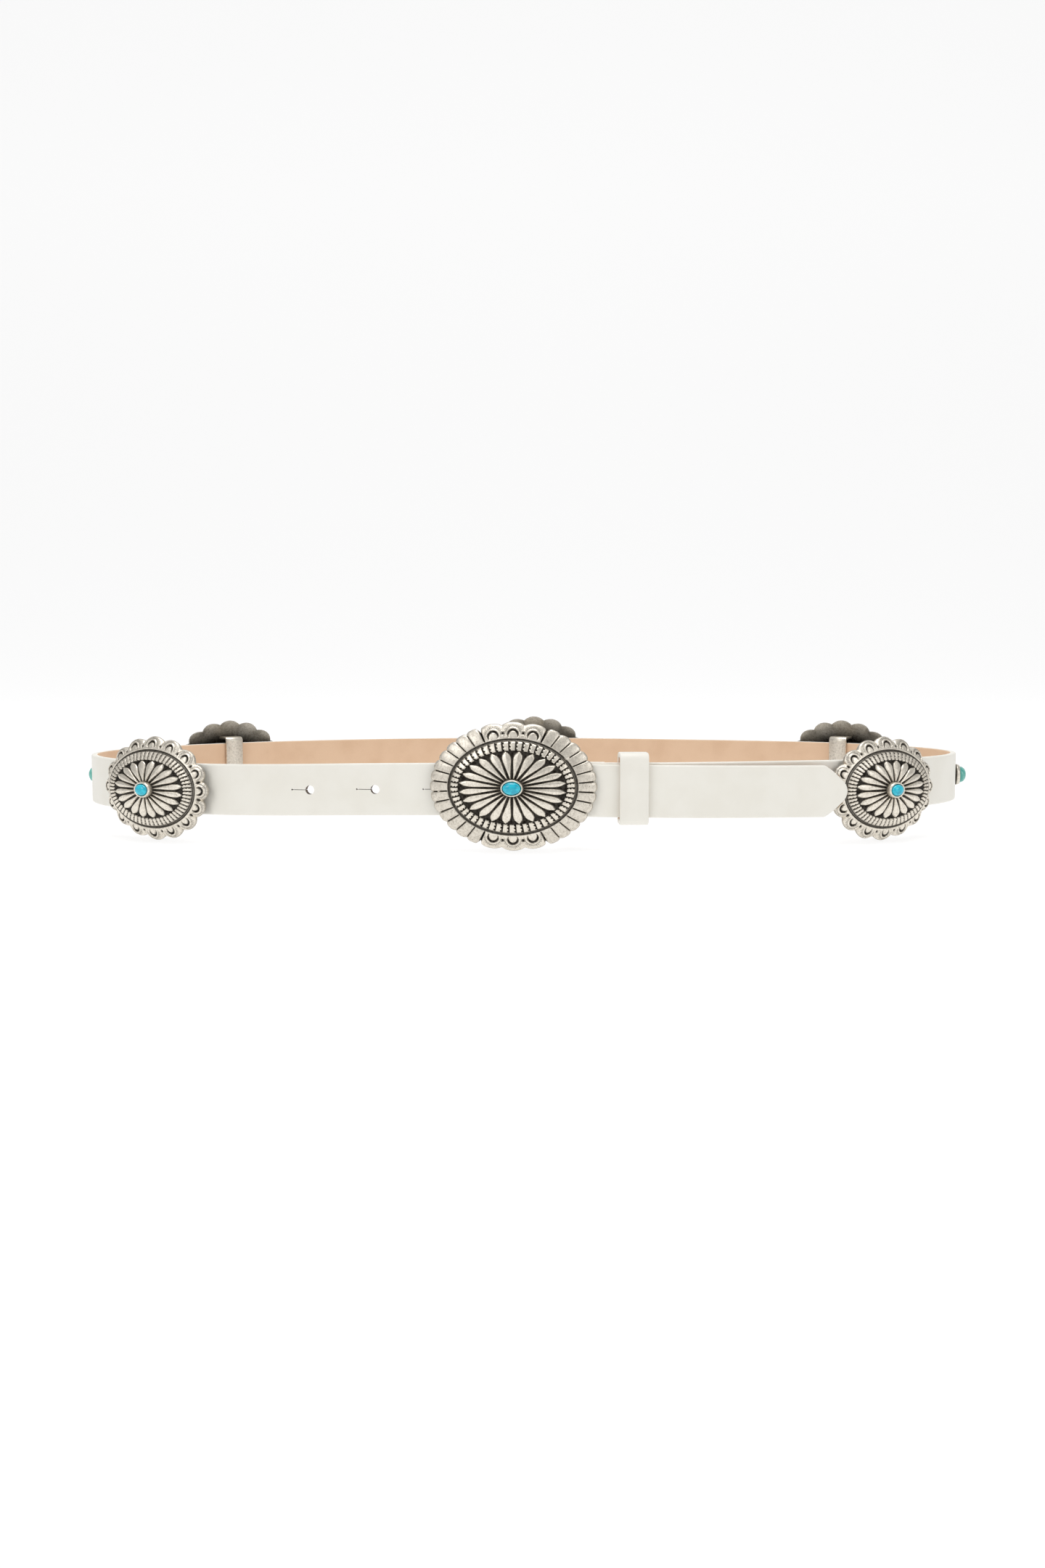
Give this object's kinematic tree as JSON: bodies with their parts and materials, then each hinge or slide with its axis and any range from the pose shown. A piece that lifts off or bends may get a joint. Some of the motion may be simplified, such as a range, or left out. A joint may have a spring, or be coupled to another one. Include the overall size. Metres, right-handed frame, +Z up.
{
  "type": "concho belt",
  "caption": "Narrow white leather belt, fastened in a loop, with an oval stamped silver buckle, oval conchos and small turquoise studs.",
  "frame": {"origin": "centre of the bounding box, on the plane that the belt stands on", "axes": "+Z up, the buckle faces -Y, +X to the right of someone who looks at the buckle"},
  "size_m": [0.384, 0.2126, 0.0489],
  "materials": {
    "leather": "white smooth leather, tan and matte on the inner side",
    "silver": "antiqued cast silver alloy with dark recesses",
    "turquoise": "polished sky blue turquoise with faint veins",
    "green_turquoise": "polished green turquoise with brown veins"
  },
  "bodies": {
    "root": {"strap": "leather", "keeper": "leather", "buckle": "silver", "buckle_stone": "turquoise", "concho_front_left": "silver", "concho_front_right": "silver", "concho_back_left": "silver", "concho_back": "silver", "concho_back_right": "silver", "concho_stone_front_left": "turquoise", "concho_stone_front_right": "turquoise", "concho_stone_back_left": "turquoise", "concho_stone_back": "turquoise", "concho_stone_back_right": "turquoise", "stud_left_side": "silver", "stud_right_side": "silver", "stud_back_left": "silver", "stud_back_right": "silver", "stud_stone_left_side": "green_turquoise", "stud_stone_right_side": "green_turquoise", "stud_stone_back_left": "green_turquoise", "stud_stone_back_right": "green_turquoise"}
  },
  "joints": []
}
